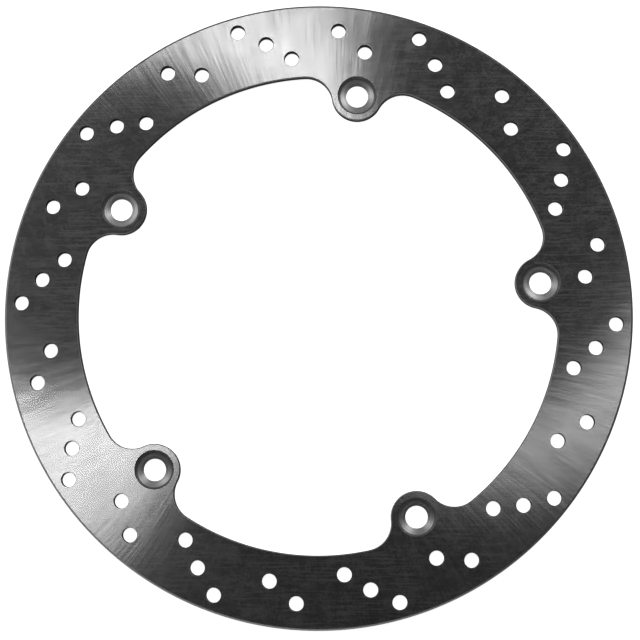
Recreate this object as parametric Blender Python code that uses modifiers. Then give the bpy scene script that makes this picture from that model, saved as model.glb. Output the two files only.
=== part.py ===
"""Motorcycle brake disc rotor, the fixed one-piece kind.

A flat ring of stainless steel with five ears that reach inwards. Each ear has a stepped
bolt seat, and fifty cooling holes are drilled through the friction ring in a pattern that
repeats ten times. The disc lies flat: its axis is +Z, its back face is at Z = 0, and +X
passes through the middle of one ear.
"""

import math

import bmesh
import bpy
from mathutils import Matrix, Vector

MM = 0.001

# Ring
OUTER_RADIUS = 152.5 * MM
INNER_RADIUS = 116.75 * MM
THICKNESS = 5.0 * MM
EDGE_CHAMFER = 0.5 * MM

# Ears: round lobes about each bolt hole, blended into the ring by concave fillets
EAR_COUNT = 5
BOLT_CIRCLE_RADIUS = 109.2 * MM
EAR_RADIUS = 12.5 * MM
EAR_FILLET_RADIUS = 13.0 * MM

# Bolt seats: a tapered wall down to a flat floor, then a through hole
SEAT_MOUTH_RADIUS = 9.4 * MM
SEAT_FLOOR_RADIUS = 8.1 * MM
SEAT_DEPTH = 3.0 * MM
BOLT_HOLE_RADIUS = 5.4 * MM

# Cooling holes: (track number, angle from the ear's centre line) within each repeat
DRILL_RADIUS = 3.55 * MM
FIRST_TRACK_RADIUS = 126.5 * MM
TRACK_SPACING = 4.5 * MM
PATTERN_REPEATS = 10
PATTERN_DEGREES = ((1, 0.0), (3, 6.0), (0, 16.0), (2, 21.0), (4, 26.0))

# Facets
RIM_SEGMENTS = 144
RING_ARC_SEGMENTS = 12
LOBE_SEGMENTS = 14
FILLET_SEGMENTS = 6
DRILL_SEGMENTS = 16
SEAT_SEGMENTS = 32

# How far a cutter passes beyond the face it cuts
OVERCUT = 1.0 * MM

# Points closer than this are one point
WELD_DISTANCE = 0.001 * MM

# Faces that meet at more than this are a crisp edge
CRISP_ANGLE = math.radians(30)


def clear_scene():
    """Remove every object that is already in the scene."""
    for obj in list(bpy.data.objects):
        bpy.data.objects.remove(obj, do_unlink=True)


def new_collection(name):
    """Make a collection in the scene."""
    collection = bpy.data.collections.new(name)
    bpy.context.scene.collection.children.link(collection)
    return collection


def polar(radius, angle):
    """Return the point at this radius and angle in the disc's plane."""
    return Vector((radius * math.cos(angle), radius * math.sin(angle)))


def arc(centre, radius, start, end, segments):
    """Return points along an arc, without its last one, so that arcs can be chained."""
    step = (end - start) / segments
    return [centre + polar(radius, start + step * i) for i in range(segments)]


def circle(centre, radius, segments):
    """Return the points of a whole circle."""
    return arc(centre, radius, 0.0, 2 * math.pi, segments)


def ear_window(ear_angle):
    """Return one fifth of the inner outline: an ear's fillet, lobe, fillet and ring arc."""
    # The fillet's circle touches the ring from inside and the lobe from outside, so its
    # centre is at the third corner of a triangle whose three sides are known.
    to_fillet = INNER_RADIUS - EAR_FILLET_RADIUS
    lobe_to_fillet = EAR_RADIUS + EAR_FILLET_RADIUS
    cosine = (to_fillet ** 2 + BOLT_CIRCLE_RADIUS ** 2 - lobe_to_fillet ** 2) / (
        2 * to_fillet * BOLT_CIRCLE_RADIUS)
    fillet_angle = math.acos(cosine)
    lobe = polar(BOLT_CIRCLE_RADIUS, 0.0)
    fillet = polar(to_fillet, fillet_angle)
    away = fillet - lobe
    lobe_angle = math.atan2(away.y, away.x)

    points = arc(polar(to_fillet, -fillet_angle), EAR_FILLET_RADIUS,
                 -fillet_angle, math.pi - lobe_angle, FILLET_SEGMENTS)
    points += arc(lobe, EAR_RADIUS, 2 * math.pi - lobe_angle, lobe_angle, LOBE_SEGMENTS)
    points += arc(fillet, EAR_FILLET_RADIUS, lobe_angle - math.pi, fillet_angle, FILLET_SEGMENTS)
    next_fillet = 2 * math.pi / EAR_COUNT - fillet_angle
    points += arc(Vector((0, 0)), INNER_RADIUS, fillet_angle, next_fillet, RING_ARC_SEGMENTS)
    turn = Matrix.Rotation(ear_angle, 2)
    return [turn @ point for point in points]


def freeze(obj, name, collection):
    """Turn a curve or a modified object into a plain mesh object with welded seams."""
    evaluated = obj.evaluated_get(bpy.context.evaluated_depsgraph_get())
    mesh = bpy.data.meshes.new_from_object(evaluated)
    work = bmesh.new()
    work.from_mesh(mesh)
    bmesh.ops.remove_doubles(work, verts=work.verts, dist=WELD_DISTANCE)
    work.to_mesh(mesh)
    work.free()
    frozen = bpy.data.objects.new(name, mesh)
    frozen.matrix_world = obj.matrix_world
    collection.objects.link(frozen)
    bpy.data.objects.remove(obj, do_unlink=True)
    return frozen


def add_outline(curve, points):
    """Add a closed outline to a flat curve."""
    spline = curve.splines.new('POLY')
    spline.points.add(len(points) - 1)
    for spline_point, point in zip(spline.points, points):
        spline_point.co = (point.x, point.y, 0.0, 1.0)
    spline.use_cyclic_u = True


def disc_blank(collection):
    """Make the ring and its ears as a plate with chamfered edges, before drilling."""
    curve = bpy.data.curves.new("disc_outline", 'CURVE')
    curve.dimensions = '2D'
    curve.fill_mode = 'BOTH'
    curve.extrude = THICKNESS / 2 - EDGE_CHAMFER
    curve.bevel_depth = EDGE_CHAMFER
    curve.bevel_resolution = 0
    curve.offset = -EDGE_CHAMFER
    add_outline(curve, circle(Vector((0, 0)), OUTER_RADIUS, RIM_SEGMENTS))
    window = []
    for ear in range(EAR_COUNT):
        window += ear_window(2 * math.pi * ear / EAR_COUNT)
    add_outline(curve, window)

    outline = bpy.data.objects.new("disc_outline", curve)
    outline.location.z = THICKNESS / 2
    collection.objects.link(outline)
    bpy.context.view_layer.update()
    return freeze(outline, "disc_blank", collection)


def seat_cutter_mesh(cutters):
    """Turn the bolt seat's profile about its axis, as the mesh of one cutter."""
    floor_z = THICKNESS - SEAT_DEPTH
    taper = (SEAT_MOUTH_RADIUS - SEAT_FLOOR_RADIUS) / SEAT_DEPTH
    profile = (
        (0.0, THICKNESS + OVERCUT),
        (SEAT_MOUTH_RADIUS + taper * OVERCUT, THICKNESS + OVERCUT),
        (SEAT_FLOOR_RADIUS, floor_z),
        (BOLT_HOLE_RADIUS, floor_z),
        (BOLT_HOLE_RADIUS, -OVERCUT),
        (0.0, -OVERCUT),
    )
    mesh = bpy.data.meshes.new("seat_profile")
    corners = [(radius, 0.0, z) for radius, z in profile]
    edges = [(i, i + 1) for i in range(len(corners) - 1)]
    mesh.from_pydata(corners, edges, [])
    turned = bpy.data.objects.new("seat_profile", mesh)
    cutters.objects.link(turned)

    screw = turned.modifiers.new("turn", 'SCREW')
    screw.axis = 'Z'
    screw.angle = 2 * math.pi
    screw.steps = SEAT_SEGMENTS
    screw.render_steps = SEAT_SEGMENTS
    screw.use_merge_vertices = True
    screw.merge_threshold = WELD_DISTANCE
    screw.use_smooth_shade = True
    bpy.context.view_layer.update()
    return frozen_mesh(turned, cutters)


def drill_cutter_mesh():
    """Make the mesh of one drill, a cylinder that passes through both faces."""
    mesh = bpy.data.meshes.new("drill")
    work = bmesh.new()
    bmesh.ops.create_cone(work, cap_ends=True, segments=DRILL_SEGMENTS,
                          radius1=DRILL_RADIUS, radius2=DRILL_RADIUS,
                          depth=THICKNESS + 2 * OVERCUT,
                          matrix=Matrix.Translation((0, 0, THICKNESS / 2)))
    work.to_mesh(mesh)
    work.free()
    return mesh


def frozen_mesh(obj, collection):
    """Freeze an object, keep its mesh and drop the object itself."""
    frozen = freeze(obj, obj.name + "_mesh", collection)
    mesh = frozen.data
    bpy.data.objects.remove(frozen, do_unlink=True)
    return mesh


def place_cutter(name, mesh, radius, angle, cutters):
    """Put a cutter that shares this mesh at a radius and an angle on the disc."""
    cutter = bpy.data.objects.new(name, mesh)
    cutter.matrix_world = Matrix.Rotation(angle, 4, 'Z') @ Matrix.Translation((radius, 0, 0))
    cutter.hide_render = True
    cutter.display_type = 'WIRE'
    cutters.objects.link(cutter)


def place_seat_cutters(cutters):
    """Put one seat cutter on each ear."""
    mesh = seat_cutter_mesh(cutters)
    for ear in range(EAR_COUNT):
        angle = 2 * math.pi * ear / EAR_COUNT
        place_cutter(f"seat_cutter_{ear + 1}", mesh, BOLT_CIRCLE_RADIUS, angle, cutters)


def place_drills(cutters):
    """Put the drills at every cooling hole of the repeating pattern."""
    mesh = drill_cutter_mesh()
    for repeat in range(PATTERN_REPEATS):
        for track, degrees in PATTERN_DEGREES:
            radius = FIRST_TRACK_RADIUS + TRACK_SPACING * track
            angle = 2 * math.pi * repeat / PATTERN_REPEATS + math.radians(degrees)
            place_cutter(f"drill_{repeat + 1}_{track + 1}", mesh, radius, angle, cutters)


def ground_steel():
    """Make the stainless steel's material, dull from the grinding wheel."""
    material = bpy.data.materials.new("ground_stainless_steel")
    material.use_nodes = True
    shader = material.node_tree.nodes["Principled BSDF"]
    shader.inputs["Base Color"].default_value = (0.46, 0.46, 0.47, 1.0)
    shader.inputs["Metallic"].default_value = 1.0
    shader.inputs["Roughness"].default_value = 0.34
    return material


def make_disc():
    """Cut the seats and the cooling holes into the blank, as the finished disc."""
    parts = new_collection("brake_disc_rotor")
    cutters = new_collection("cutters")
    blank = disc_blank(parts)
    place_seat_cutters(cutters)
    place_drills(cutters)

    cut = blank.modifiers.new("drilled", 'BOOLEAN')
    cut.operation = 'DIFFERENCE'
    cut.solver = 'EXACT'
    cut.operand_type = 'COLLECTION'
    cut.collection = cutters
    bpy.context.view_layer.update()

    disc = freeze(blank, "brake_disc", parts)
    disc.data.name = "brake_disc"
    disc.data.shade_smooth()
    disc.data.set_sharp_from_angle(angle=CRISP_ANGLE)
    disc.data.materials.clear()
    disc.data.materials.append(ground_steel())


def main():
    clear_scene()
    make_disc()


main()
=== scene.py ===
"""The looks of the motorcycle brake disc: its ground faces, turned seats, holes and studio."""
import math

import bmesh
import bpy
from mathutils import Euler, Matrix, Vector


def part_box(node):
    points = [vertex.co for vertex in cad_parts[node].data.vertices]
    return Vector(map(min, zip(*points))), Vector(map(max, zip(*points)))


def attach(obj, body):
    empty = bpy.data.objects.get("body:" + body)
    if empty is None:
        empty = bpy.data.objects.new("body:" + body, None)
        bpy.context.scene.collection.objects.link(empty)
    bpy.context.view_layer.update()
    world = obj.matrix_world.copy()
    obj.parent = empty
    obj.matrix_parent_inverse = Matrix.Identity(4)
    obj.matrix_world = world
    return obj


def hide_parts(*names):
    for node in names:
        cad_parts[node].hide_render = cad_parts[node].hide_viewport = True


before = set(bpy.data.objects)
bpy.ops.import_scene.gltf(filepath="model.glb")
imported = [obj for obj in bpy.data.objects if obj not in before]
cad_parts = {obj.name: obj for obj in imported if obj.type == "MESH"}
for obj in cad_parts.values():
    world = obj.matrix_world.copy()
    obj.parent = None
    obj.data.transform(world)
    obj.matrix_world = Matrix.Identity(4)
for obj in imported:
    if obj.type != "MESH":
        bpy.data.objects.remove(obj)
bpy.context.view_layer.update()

MM = 0.001

# The plate, read from the frame
LOW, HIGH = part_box("brake_disc")
OUTER_RADIUS = (HIGH.x - LOW.x) / 2
BACK_Z = LOW.z
FRONT_Z = HIGH.z

# The window and its ears, as in the CAD model
INNER_RADIUS = 116.75 * MM
EAR_COUNT = 5
BOLT_CIRCLE_RADIUS = 109.2 * MM
EAR_RADIUS = 12.5 * MM
EAR_FILLET_RADIUS = 13.0 * MM

# The bolt seats, as in the CAD model
SEAT_MOUTH_RADIUS = 9.4 * MM
SEAT_FLOOR_RADIUS = 8.1 * MM
SEAT_DEPTH = 3.0 * MM
BOLT_HOLE_RADIUS = 5.4 * MM

# The cooling holes, as in the CAD model: (track, degrees from the ear) within each repeat
DRILL_RADIUS = 3.55 * MM
FIRST_TRACK_RADIUS = 126.5 * MM
TRACK_SPACING = 4.5 * MM
PATTERN_REPEATS = 10
PATTERN_DEGREES = ((1, 0.0), (3, 6.0), (0, 16.0), (2, 21.0), (4, 26.0))

# Edge breaks, measured in the plane of the face
RIM_CHAMFER = 1.05 * MM
WINDOW_CHAMFER = 0.45 * MM
HOLE_CHAMFER = 0.25 * MM
SEAT_CHAMFER = 0.15 * MM

# An edge break's section, as shares of its width: (distance into the face, depth below it)
CHAMFER_SECTION = ((1.0, 0.0), (0.85, 0.08), (0.1, 0.86), (0.0, 1.1))

# The seat's wall runs into its floor by a fillet: (distance beyond the floor, height above it)
SEAT_FILLET = (
    (1.10 * MM, 2.10 * MM),
    (0.92 * MM, 1.30 * MM),
    (0.70 * MM, 0.80 * MM),
    (0.40 * MM, 0.40 * MM),
    (0.05 * MM, 0.12 * MM),
    (-0.40 * MM, 0.0),
)

# The seat's floor has two fine steps: (radius, depth below the fillet's foot). The bolt hole's
# top edge lies lower still
SEAT_FLOOR_STEPS = (
    (7.05 * MM, 0.0),
    (6.90 * MM, 0.09 * MM),
    (6.30 * MM, 0.09 * MM),
    (6.15 * MM, 0.18 * MM),
    (BOLT_HOLE_RADIUS + 0.10 * MM, 0.18 * MM),
)
BOLT_HOLE_TOP = 0.30 * MM

# Facets
RIM_SEGMENTS = 720
RING_ARC_SEGMENTS = 60
LOBE_SEGMENTS = 64
FILLET_SEGMENTS = 24
DRILL_SEGMENTS = 56
SEAT_SEGMENTS = 112

# The grinding wheel leaves arcs of this radius, and their centres lie on a circle of this radius
GRIND_ARC_RADIUS = 250 * MM
GRIND_CENTRE_RADIUS = 287 * MM

# The grooves' fine streaks, turning lines and broad bands: (width, length, octaves)
FINE_STREAKS = (0.7 * MM, 16 * MM, 1.0)
TURNING_LINES = (0.75 * MM, 22 * MM, 1.0)
BROAD_BANDS = (5 * MM, 18 * MM, 2.0)

# How far the ground face leans across its grooves: on the whole, and from line to line
MEAN_LEAN = -0.031
LINE_LEAN = 0.025

# How far the grooves wander from their arcs: from line to line, in radians, then the bands'
# share of it, and the value of the noise at which they don't wander
GROOVE_WANDER = 0.20
BAND_WANDER = 0.2
NO_WANDER = 0.6

# Scratches: which way they run, their width and length, and the noise's range that shows
POLISH_SCRATCHES = (math.radians(-7.8), 0.9 * MM, 18 * MM, 0.46, 0.68)
HATCH_SCRATCHES = (math.radians(10), 0.8 * MM, 14 * MM, 0.35, 0.65)

# Spots on the ground face, as noise cells in a metre
SPECKLE_SCALE = 750.0
BLOTCH_SCALE = 170.0
POLISHED_PATCH_SCALE = 28.0
POLISHED_PATCH_RANGE = (0.32, 0.55)

# The ground face's brightness, and what each texture multiplies it by or adds to it
GROUND_GREY = (0.445, 0.555)
BAND_CONTRAST = (0.95, 1.05)
SPECKLE_CONTRAST = (0.96, 1.04)
HATCH_CONTRAST = (0.96, 1.04)
# Painted highlight: the polishing scratches' colour is made lighter by this much, as if light
# caught them
POLISH_PAINTED_HIGHLIGHT = 0.06

# The ground face's gloss: sharp along the grooves, wide across them, rougher in some bands
GROUND_ANISOTROPY = 0.989
GROUND_ROUGHNESS = (0.203, 0.213)

# The rough spots' scattered light: the range of the two noises' sum, its strength and its width
SCATTER_RANGE = (0.92, 1.22)
SCATTER_STRENGTH = 0.7
SCATTER_ROUGHNESS = 0.57

# The cut walls and edge breaks
CUT_GREY = (0.42, 0.42, 0.43, 1.0)
CUT_ROUGHNESS = (0.38, 0.5)

# The turned seats
RING_WIDTH = 0.6 * MM
RING_LEAN = 0.35
TURNED_GREY = (0.24, 0.46)
TURNED_CONTRAST = (0.9, 1.1)
TURNED_ROUGHNESS = (0.43, 0.5)
TURNED_ANISOTROPY = 0.6
WALL_FOOT = (SEAT_FLOOR_RADIUS + 0.7 * MM, SEAT_FLOOR_RADIUS + 1.0 * MM)
WALL_SMOOTHING = 0.15

# The grain of cut and turned steel, as noise cells in a metre
GRAIN_SCALE = 900.0

# Most of a noise's values lie in this range
NOISE_RANGE = (0.3, 0.7)

# Materials' places on the disc
GROUND = 0
CUT = 1
TURNED = 2

# Camera
CAMERA_TILT = (math.radians(6.056), math.radians(1.432), math.radians(-7.8))
CAMERA_AIM = Vector((0.7 * MM, -3.4 * MM, FRONT_Z))
CAMERA_DISTANCE = 997.3 * MM
CAMERA_LENS = 115.75
SENSOR_WIDTH = 36.0

# Directions
UP = (0, 0, 1)
TO_FAR_SIDE = (0, 1, 0)

# Soft boxes' height above the disc
SOFT_BOX_HEIGHT = 1.0

# The soft edges of the studio's faint light, as ranges of the direction's share along an axis:
# upwards, from the near to the far side, or towards a glow's bearing
UNDER_HORIZON = (-0.6, -0.4)
OVER_HORIZON = (0.08, 0.25)
LOW_TO_HIGH = (0.0, 0.7)
NEAR_TO_FAR = (-0.15, 0.35)
FAR_BOTTOM = (0.3, 0.5)
FAR_TOP = (0.7, 0.85)
GLOW_EDGE = (-0.15, 0.55)

# The faint light's strengths. Overhead it is weaker on the near side, and lower down
OVERHEAD_STRENGTH = (0.028, 0.044)
OVERHEAD_SHARE = (0.1, 1.0)
HORIZON_STRENGTH = 0.13
LOWER_LEFT_STRENGTH = 0.5
FAR_SIDE_STRENGTH = 0.6

# The bearings of its glows
LOWER_LEFT_BEARING = math.radians(212)
FAR_BEARING = math.radians(90)

# Floor
FLOOR_REACH = 6.0
FLOOR_GAP = 0.05 * MM
FLOOR_GREY = (0.9, 0.9, 0.9, 1)
FLOOR_ROUGHNESS = 0.9
FLOOR_GLOW = 0.95


# ---------------------------------------------------------------- outlines


def polar(radius, angle):
    """Return the point at this radius and angle in the disc's plane."""
    return Vector((radius * math.cos(angle), radius * math.sin(angle)))


def arc(centre, radius, start, end, segments):
    """Return points along an arc, without its last one, so that arcs can be chained."""
    step = (end - start) / segments
    return [centre + polar(radius, start + step * i) for i in range(segments)]


def circle(centre, radius, segments):
    """Return the points of a whole circle."""
    return arc(centre, radius, 0.0, 2 * math.pi, segments)


def window_outline(inset):
    """Return the inner outline, moved into the metal by inset."""
    # Each fillet's circle touches the ring from inside and the ear's lobe from outside.
    to_fillet = INNER_RADIUS - EAR_FILLET_RADIUS
    lobe_to_fillet = EAR_RADIUS + EAR_FILLET_RADIUS
    cosine = (to_fillet ** 2 + BOLT_CIRCLE_RADIUS ** 2 - lobe_to_fillet ** 2) / (
        2 * to_fillet * BOLT_CIRCLE_RADIUS)
    fillet_angle = math.acos(cosine)
    lobe = polar(BOLT_CIRCLE_RADIUS, 0.0)
    away = polar(to_fillet, fillet_angle) - lobe
    lobe_angle = math.atan2(away.y, away.x)
    fillet_radius = EAR_FILLET_RADIUS + inset
    next_fillet = 2 * math.pi / EAR_COUNT - fillet_angle

    points = arc(polar(to_fillet, -fillet_angle), fillet_radius,
                 -fillet_angle, math.pi - lobe_angle, FILLET_SEGMENTS)
    points += arc(lobe, EAR_RADIUS - inset, 2 * math.pi - lobe_angle, lobe_angle, LOBE_SEGMENTS)
    points += arc(polar(to_fillet, fillet_angle), fillet_radius,
                  lobe_angle - math.pi, fillet_angle, FILLET_SEGMENTS)
    points += arc(Vector((0, 0)), INNER_RADIUS + inset,
                  fillet_angle, next_fillet, RING_ARC_SEGMENTS)
    turned = []
    for ear in range(EAR_COUNT):
        turn = Matrix.Rotation(2 * math.pi * ear / EAR_COUNT, 2)
        turned += [turn @ point for point in points]
    return turned


def rim_outline(inset):
    """Return the outer circle, moved into the metal by inset."""
    return circle(Vector((0, 0)), OUTER_RADIUS - inset, RIM_SEGMENTS)


# ---------------------------------------------------------------- mesh


class DiscMesh:
    """Collects the disc's surfaces, ring by ring."""

    def __init__(self):
        self.work = bmesh.new()
        self.front_edges = []
        self.back_edges = []

    def ring(self, points, z):
        """Add a closed ring of points at one height."""
        return [self.work.verts.new((point.x, point.y, z)) for point in points]

    def ring_edges(self, ring):
        """Return the edges that join a ring's points."""
        pairs = zip(ring, ring[1:] + ring[:1])
        return [self.work.edges.get(pair) or self.work.edges.new(pair) for pair in pairs]

    def sweep(self, outline, section, outside, materials):
        """Carry an outline down a section of (inset, z) steps, from the front to the back."""
        rings = [self.ring(outline(inset), z) for inset, z in section]
        for upper, lower, material in zip(rings, rings[1:], materials):
            count = len(upper)
            for i in range(count):
                j = (i + 1) % count
                corners = [upper[i], lower[i], lower[j], upper[j]]
                if not outside:
                    corners.reverse()
                face = self.work.faces.new(corners)
                face.material_index = material
                face.smooth = True
        self.front_edges += self.ring_edges(rings[0])
        self.back_edges += self.ring_edges(rings[-1])

    def cap(self, edges, up):
        """Fill the flat face that these rings bound."""
        filled = bmesh.ops.triangle_fill(
            self.work, edges=edges, use_beauty=True, normal=(0, 0, 1 if up else -1))
        for item in filled["geom"]:
            if isinstance(item, bmesh.types.BMFace):
                item.material_index = GROUND
                item.normal_update()
                if (item.normal.z > 0) != up:
                    item.normal_flip()
        for edge in edges:
            edge.smooth = False

    def finish(self, name):
        """Cap both faces and return the disc as an object."""
        self.cap(self.front_edges, True)
        self.cap(self.back_edges, False)
        mesh = bpy.data.meshes.new(name)
        self.work.to_mesh(mesh)
        self.work.free()
        disc = bpy.data.objects.new(name, mesh)
        bpy.context.scene.collection.objects.link(disc)
        return disc


def chamfered_section(width):
    """Return a straight wall's section with the same chamfer at both faces."""
    front = [(width * inset, FRONT_Z - width * drop) for inset, drop in CHAMFER_SECTION]
    back = [(width * inset, BACK_Z + width * drop) for inset, drop in reversed(CHAMFER_SECTION)]
    return front + back


def add_edge(mesh, outline, chamfer, outside):
    """Add the chamfers and the wall of one outline."""
    section = chamfered_section(chamfer)
    mesh.sweep(outline, section, outside, [CUT] * (len(section) - 1))


def seat_section():
    """Return the seat's and through hole's (radius, z) steps, and each stretch's material."""
    floor_z = FRONT_Z - SEAT_DEPTH
    seat = [(SEAT_MOUTH_RADIUS + SEAT_CHAMFER, FRONT_Z),
            (SEAT_MOUTH_RADIUS, FRONT_Z - SEAT_CHAMFER)]
    seat += [(SEAT_FLOOR_RADIUS + beyond, floor_z + above) for beyond, above in SEAT_FILLET]
    seat += [(radius, floor_z - depth) for radius, depth in SEAT_FLOOR_STEPS]
    hole = [(BOLT_HOLE_RADIUS, floor_z - BOLT_HOLE_TOP)]
    hole += [(BOLT_HOLE_RADIUS + HOLE_CHAMFER * inset, BACK_Z + HOLE_CHAMFER * drop)
             for inset, drop in reversed(CHAMFER_SECTION)]
    return seat + hole, [TURNED] * len(seat) + [CUT] * (len(hole) - 1)


def add_seat(mesh, centre):
    """Add one ear's bolt seat and through hole."""
    section, materials = seat_section()
    mesh.sweep(lambda radius: circle(centre, radius, SEAT_SEGMENTS), section, False, materials)


def add_drill(mesh, centre):
    """Add one cooling hole."""
    add_edge(mesh, lambda inset: circle(centre, DRILL_RADIUS + inset, DRILL_SEGMENTS),
             HOLE_CHAMFER, False)


def make_disc():
    """Build the disc's fine mesh."""
    mesh = DiscMesh()
    add_edge(mesh, rim_outline, RIM_CHAMFER, True)
    add_edge(mesh, window_outline, WINDOW_CHAMFER, False)
    for ear in range(EAR_COUNT):
        add_seat(mesh, polar(BOLT_CIRCLE_RADIUS, 2 * math.pi * ear / EAR_COUNT))
    for repeat in range(PATTERN_REPEATS):
        for track, degrees in PATTERN_DEGREES:
            radius = FIRST_TRACK_RADIUS + TRACK_SPACING * track
            angle = 2 * math.pi * repeat / PATTERN_REPEATS + math.radians(degrees)
            add_drill(mesh, polar(radius, angle))
    disc = mesh.finish("brake_disc_fine")
    disc.data.materials.append(ground_steel())
    disc.data.materials.append(cut_steel())
    disc.data.materials.append(turned_steel())
    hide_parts("brake_disc")
    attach(disc, "root")


# ---------------------------------------------------------------- materials


class Graph:
    """Short ways to lay out a material's nodes."""

    def __init__(self, name):
        self.material = bpy.data.materials.new(name)
        self.material.use_nodes = True
        self.tree = self.material.node_tree
        self.shader = self.tree.nodes["Principled BSDF"]

    def put(self, socket, value):
        """Link a socket, or set its value when it isn't a link."""
        if isinstance(value, bpy.types.NodeSocket):
            self.tree.links.new(value, socket)
        else:
            socket.default_value = value

    def math(self, operation, *values, clamp=False):
        node = self.tree.nodes.new("ShaderNodeMath")
        node.operation = operation
        node.use_clamp = clamp
        for socket, value in zip(node.inputs, values):
            self.put(socket, value)
        return node.outputs[0]

    def vector(self, operation, *values, output="Vector"):
        node = self.tree.nodes.new("ShaderNodeVectorMath")
        node.operation = operation
        for socket, value in zip(node.inputs, values):
            self.put(socket, value)
        return node.outputs[output]

    def scaled(self, vector, scale):
        node = self.tree.nodes.new("ShaderNodeVectorMath")
        node.operation = 'SCALE'
        self.put(node.inputs[0], vector)
        self.put(node.inputs["Scale"], scale)
        return node.outputs[0]

    def rotated(self, vector, angle):
        """Turn a vector about the disc's axis."""
        node = self.tree.nodes.new("ShaderNodeVectorRotate")
        node.rotation_type = 'Z_AXIS'
        self.put(node.inputs["Vector"], vector)
        self.put(node.inputs["Angle"], angle)
        return node.outputs[0]

    def noise(self, vector, scale, detail=2.0):
        node = self.tree.nodes.new("ShaderNodeTexNoise")
        self.put(node.inputs["Vector"], vector)
        node.inputs["Scale"].default_value = scale
        node.inputs["Detail"].default_value = detail
        return node.outputs["Fac"]

    def remap(self, value, low, high, new_low, new_high):
        """Map a range of values to another, clamped."""
        node = self.tree.nodes.new("ShaderNodeMapRange")
        for socket, item in zip(node.inputs, (value, low, high, new_low, new_high)):
            self.put(socket, item)
        return node.outputs[0]

    def spread(self, noise, result):
        """Map the range that most of a noise lies in to the range of the result, clamped."""
        return self.remap(noise, *NOISE_RANGE, *result)

    def lean(self, direction, amount):
        """Tilt the shader's normal this far towards a direction in the disc's plane."""
        tilted = self.vector('ADD', self.normal(), self.scaled(direction, amount))
        self.put(self.shader.inputs["Normal"], self.vector('NORMALIZE', tilted))

    def grey(self, value):
        """Return the colour that is this bright."""
        node = self.tree.nodes.new("ShaderNodeCombineColor")
        for socket in node.inputs:
            self.put(socket, value)
        return node.outputs[0]

    def place(self):
        """Return the point's place in the frame of the disc."""
        return self.tree.nodes.new("ShaderNodeTexCoord").outputs["Object"]

    def normal(self):
        """Return the surface's own normal."""
        return self.tree.nodes.new("ShaderNodeNewGeometry").outputs["Normal"]


def groove_frame(graph):
    """Return, for each point, the centre of its grinding arc, the direction across the groove
    and the distance from the disc's axis."""
    flat = graph.vector('MULTIPLY', graph.place(), (1, 1, 0))
    radius = graph.vector('LENGTH', flat, output="Value")
    constant = GRIND_CENTRE_RADIUS ** 2 - GRIND_ARC_RADIUS ** 2
    cosine = graph.math(
        'DIVIDE',
        graph.math('ADD', graph.math('MULTIPLY', radius, radius), constant),
        graph.math('MULTIPLY', radius, 2 * GRIND_CENTRE_RADIUS))
    turn = graph.math('MULTIPLY', graph.math('ARCCOSINE', cosine), -1.0)
    outward = graph.vector('NORMALIZE', flat)
    centre = graph.scaled(graph.rotated(outward, turn), GRIND_CENTRE_RADIUS)
    across = graph.vector('NORMALIZE', graph.vector('SUBTRACT', flat, centre))
    return centre, across, radius


def streaks(graph, centre, radius, width, length, detail=1.0):
    """Return noise drawn out along the grooves: lines this wide and this long, in metres."""
    # The circle of the grooves' centres is this many times as wide as the ring's middle
    spread = GRIND_CENTRE_RADIUS / (0.5 * (INNER_RADIUS + OUTER_RADIUS))
    along = graph.tree.nodes.new("ShaderNodeCombineXYZ")
    graph.put(along.inputs["Z"], graph.math('DIVIDE', radius, length))
    place = graph.vector('ADD', graph.scaled(centre, 1 / (width * spread)), along.outputs[0])
    return graph.noise(place, 1.0, detail)


def scratches(graph, angle, width, length, low, high):
    """Return 0 to 1 where long thin scratches cross the face in this direction."""
    place = graph.rotated(graph.place(), -angle)
    stretched = graph.vector('MULTIPLY', place, (1 / length, 1 / width, 0))
    return graph.remap(graph.noise(stretched, 1.0), low, high, 0.0, 1.0)


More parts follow.
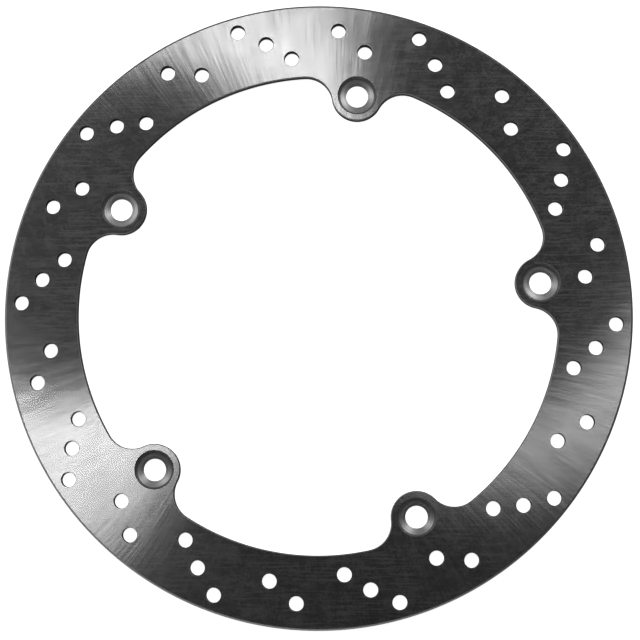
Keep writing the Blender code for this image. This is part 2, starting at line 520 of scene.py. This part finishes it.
def ground_steel():
    """Steel ground by a cup wheel: fine arcs that run nearly radially, lightly cross-hatched."""
    graph = Graph("ground_stainless_steel")
    centre, across, radius = groove_frame(graph)
    fine = streaks(graph, centre, radius, *FINE_STREAKS)
    lines = streaks(graph, centre, radius, *TURNING_LINES)
    bands = streaks(graph, centre, radius, *BROAD_BANDS)
    speckle = graph.noise(graph.place(), SPECKLE_SCALE)
    blotches = graph.noise(graph.place(), BLOTCH_SCALE)

    # Polishing scratches run one way over the whole disc, in patches
    patches = graph.noise(graph.place(), POLISHED_PATCH_SCALE)
    patches = graph.remap(patches, *POLISHED_PATCH_RANGE, 0.0, 1.0)
    polish = graph.math('MULTIPLY', scratches(graph, *POLISH_SCRATCHES), patches)
    hatch = scratches(graph, *HATCH_SCRATCHES)

    shade = graph.spread(fine, GROUND_GREY)
    shade = graph.math('MULTIPLY', shade, graph.spread(bands, BAND_CONTRAST))
    shade = graph.math('MULTIPLY', shade, graph.spread(speckle, SPECKLE_CONTRAST))
    shade = graph.math('MULTIPLY', shade, graph.remap(hatch, 0.0, 1.0, *HATCH_CONTRAST))
    # Painted highlight: the polishing scratches are lightened in the base colour, as if light
    # caught them
    shade = graph.math('MULTIPLY_ADD', polish, POLISH_PAINTED_HIGHLIGHT, shade)

    # The roughest spots scatter light every way, so they show where the grooves are dark
    spots = graph.math('ADD', speckle, blotches)
    scatter = graph.remap(spots, *SCATTER_RANGE, 0.0, SCATTER_STRENGTH)
    scatter = graph.math('ADD', polish, scatter, clamp=True)

    shader = graph.shader
    graph.put(shader.inputs["Base Color"], graph.grey(shade))
    shader.inputs["Metallic"].default_value = 1.0
    shader.inputs["Anisotropic"].default_value = GROUND_ANISOTROPY
    graph.put(shader.inputs["Roughness"], graph.spread(bands, GROUND_ROUGHNESS))
    graph.put(shader.inputs["Coat Weight"], scatter)
    shader.inputs["Coat Roughness"].default_value = SCATTER_ROUGHNESS
    uneven = graph.math('SUBTRACT', fine, 0.5)
    graph.lean(across, graph.math('MULTIPLY_ADD', uneven, LINE_LEAN, MEAN_LEAN))
    wander = graph.math('SUBTRACT', lines, NO_WANDER)
    wander = graph.math('MULTIPLY_ADD', bands, BAND_WANDER, wander)
    wander = graph.math('MULTIPLY', wander, GROOVE_WANDER)
    graph.put(shader.inputs["Tangent"], graph.rotated(across, wander))
    return graph.material


def cut_steel():
    """Steel of the edge breaks and the walls."""
    graph = Graph("cut_stainless_steel")
    shader = graph.shader
    shader.inputs["Base Color"].default_value = CUT_GREY
    shader.inputs["Metallic"].default_value = 1.0
    grain = graph.noise(graph.place(), GRAIN_SCALE, 3.0)
    graph.put(shader.inputs["Roughness"], graph.spread(grain, CUT_ROUGHNESS))
    return graph.material


def seat_direction(graph):
    """Return the direction away from the nearest bolt hole's axis, and the distance to it."""
    place = graph.place()
    split = graph.tree.nodes.new("ShaderNodeSeparateXYZ")
    graph.put(split.inputs[0], place)
    angle = graph.math('ARCTAN2', split.outputs["Y"], split.outputs["X"])
    angle = graph.math('ADD', angle, math.pi / EAR_COUNT)
    ear = graph.math('SNAP', angle, 2 * math.pi / EAR_COUNT)
    axis = graph.rotated((BOLT_CIRCLE_RADIUS, 0, 0), ear)
    away = graph.vector('SUBTRACT', graph.vector('MULTIPLY', place, (1, 1, 0)), axis)
    distance = graph.vector('LENGTH', away, output="Value")
    return graph.vector('NORMALIZE', away), distance


def turned_steel():
    """Steel of the seats, turned on a lathe: fine rings about each hole."""
    graph = Graph("turned_stainless_steel")
    away, distance = seat_direction(graph)
    rings = graph.tree.nodes.new("ShaderNodeCombineXYZ")
    graph.put(rings.inputs["X"], graph.math('DIVIDE', distance, RING_WIDTH))
    ring_noise = graph.noise(rings.outputs[0], 1.0)
    grain = graph.noise(graph.place(), GRAIN_SCALE, 3.0)
    shade = graph.math('MULTIPLY', graph.spread(ring_noise, TURNED_GREY),
                       graph.spread(grain, TURNED_CONTRAST))

    shader = graph.shader
    graph.put(shader.inputs["Base Color"], graph.grey(shade))
    shader.inputs["Metallic"].default_value = 1.0
    shader.inputs["Anisotropic"].default_value = TURNED_ANISOTROPY
    # The tapered wall is smoother than the floor
    wall = graph.remap(distance, *WALL_FOOT, 0.0, WALL_SMOOTHING)
    roughness = graph.math('SUBTRACT', graph.spread(grain, TURNED_ROUGHNESS), wall)
    graph.put(shader.inputs["Roughness"], roughness)
    uneven = graph.math('SUBTRACT', ring_noise, 0.5)
    graph.lean(away, graph.math('MULTIPLY', uneven, RING_LEAN))
    graph.put(shader.inputs["Tangent"], away)
    return graph.material


# ---------------------------------------------------------------- studio


def make_camera():
    """Put the camera nearly above the disc, at the photograph's angle."""
    data = bpy.data.cameras.new("camera")
    data.lens = CAMERA_LENS
    data.sensor_width = SENSOR_WIDTH
    camera = bpy.data.objects.new("camera", data)
    bpy.context.scene.collection.objects.link(camera)
    turn = Euler(CAMERA_TILT).to_matrix()
    camera.rotation_euler = CAMERA_TILT
    camera.location = CAMERA_AIM + CAMERA_DISTANCE * turn.col[2]
    bpy.context.scene.camera = camera


def mirrored_light(name, image_angle, image_radius, half_size, turn, power):
    """Put a soft box where the disc's face would mirror it at this angle and radius."""
    camera = bpy.context.scene.camera
    foot = Vector((camera.location.x, camera.location.y))
    image = polar(image_radius, image_angle)
    camera_height = camera.location.z - FRONT_Z
    reach = (camera_height + SOFT_BOX_HEIGHT) / camera_height
    place = foot + (image - foot) * reach
    data = bpy.data.lights.new(name, 'AREA')
    data.shape = 'RECTANGLE'
    data.size = 2 * half_size[0]
    data.size_y = 2 * half_size[1]
    data.energy = power
    light = bpy.data.objects.new(name, data)
    # It faces the middle of the disc, and its own X axis is turned to this angle
    back = Vector((place.x, place.y, SOFT_BOX_HEIGHT)).normalized()
    side = Vector((math.cos(turn), math.sin(turn), 0))
    side = (side - back * side.dot(back)).normalized()
    facing = Matrix((side, back.cross(side), back)).transposed().to_4x4()
    centre = (place.x, place.y, FRONT_Z + SOFT_BOX_HEIGHT)
    light.matrix_world = Matrix.Translation(centre) @ facing
    bpy.context.scene.collection.objects.link(light)


class Sky:
    """Collects the studio's faint light from each direction, as nodes."""

    def __init__(self):
        world = bpy.data.worlds.new("studio")
        bpy.context.scene.world = world
        world.use_nodes = True
        self.tree = world.node_tree
        self.background = self.tree.nodes["Background"]
        place = self.tree.nodes.new("ShaderNodeTexCoord")
        self.direction = place.outputs["Generated"]

    def ramp(self, axis, edge, start, end):
        """Return a soft step from start to end, over this edge along an axis."""
        dot = self.tree.nodes.new("ShaderNodeVectorMath")
        dot.operation = 'DOT_PRODUCT'
        self.tree.links.new(self.direction, dot.inputs[0])
        dot.inputs[1].default_value = axis
        node = self.tree.nodes.new("ShaderNodeMapRange")
        node.interpolation_type = 'SMOOTHSTEP'
        self.tree.links.new(dot.outputs["Value"], node.inputs[0])
        for socket, value in zip(list(node.inputs)[1:5], (*edge, start, end)):
            socket.default_value = value
        return node.outputs[0]

    def combine(self, operation, first, second):
        node = self.tree.nodes.new("ShaderNodeMath")
        node.operation = operation
        self.tree.links.new(first, node.inputs[0])
        self.tree.links.new(second, node.inputs[1])
        return node.outputs[0]

    def glow(self, bearing, bottom, top, strength):
        """Return a soft glow centred on this bearing, between a bottom and a top soft edge."""
        towards = (math.cos(bearing), math.sin(bearing), 0)
        side = self.ramp(towards, GLOW_EDGE, 0.0, strength)
        above = self.ramp(UP, bottom, 0.0, 1.0)
        below = self.ramp(UP, top, 1.0, 0.0)
        return self.combine('MULTIPLY', side, self.combine('MULTIPLY', above, below))


def make_world():
    """Light the studio faintly from overhead and all round the horizon, and more from its
    lower left and its far side."""
    sky = Sky()
    overhead = sky.combine('MULTIPLY', sky.ramp(TO_FAR_SIDE, NEAR_TO_FAR, *OVERHEAD_STRENGTH),
                           sky.ramp(UP, LOW_TO_HIGH, *OVERHEAD_SHARE))
    lower_left = sky.glow(LOWER_LEFT_BEARING, UNDER_HORIZON, OVER_HORIZON, LOWER_LEFT_STRENGTH)
    far_side = sky.glow(FAR_BEARING, FAR_BOTTOM, FAR_TOP, FAR_SIDE_STRENGTH)
    horizon = sky.combine('MULTIPLY', sky.ramp(UP, UNDER_HORIZON, 0.0, HORIZON_STRENGTH),
                          sky.ramp(UP, OVER_HORIZON, 1.0, 0.0))
    total = sky.combine('ADD', sky.combine('ADD', overhead, horizon),
                        sky.combine('ADD', lower_left, far_side))
    sky.tree.links.new(total, sky.background.inputs["Strength"])
    sky.background.inputs["Color"].default_value = (1, 1, 1, 1)


def make_floor():
    """Lay a plain pale floor under the disc."""
    mesh = bpy.data.meshes.new("floor")
    corners = [(-FLOOR_REACH, -FLOOR_REACH, BACK_Z), (FLOOR_REACH, -FLOOR_REACH, BACK_Z),
               (FLOOR_REACH, FLOOR_REACH, BACK_Z), (-FLOOR_REACH, FLOOR_REACH, BACK_Z)]
    mesh.from_pydata(corners, [], [(0, 1, 2, 3)])
    floor = bpy.data.objects.new("floor", mesh)
    floor.location.z = -FLOOR_GAP
    bpy.context.scene.collection.objects.link(floor)
    material = bpy.data.materials.new("pale_floor")
    material.use_nodes = True
    shader = material.node_tree.nodes["Principled BSDF"]
    shader.inputs["Base Color"].default_value = FLOOR_GREY
    shader.inputs["Roughness"].default_value = FLOOR_ROUGHNESS
    shader.inputs["Emission Color"].default_value = (1, 1, 1, 1)
    shader.inputs["Emission Strength"].default_value = FLOOR_GLOW
    mesh.materials.append(material)
    # The floor's own light neither falls on the steel nor shows in it
    floor.visible_glossy = False
    floor.visible_diffuse = False


make_disc()
make_camera()
mirrored_light("soft_box_left", image_angle=math.radians(150.9), image_radius=268 * MM,
               half_size=(0.110, 0.112), turn=math.radians(22.5), power=2.4)
mirrored_light("soft_box_right", image_angle=math.radians(31.1), image_radius=330 * MM,
               half_size=(0.157, 0.158), turn=math.radians(5.4), power=3.86)
make_world()
make_floor()
bpy.context.scene.view_settings.view_transform = 'Standard'
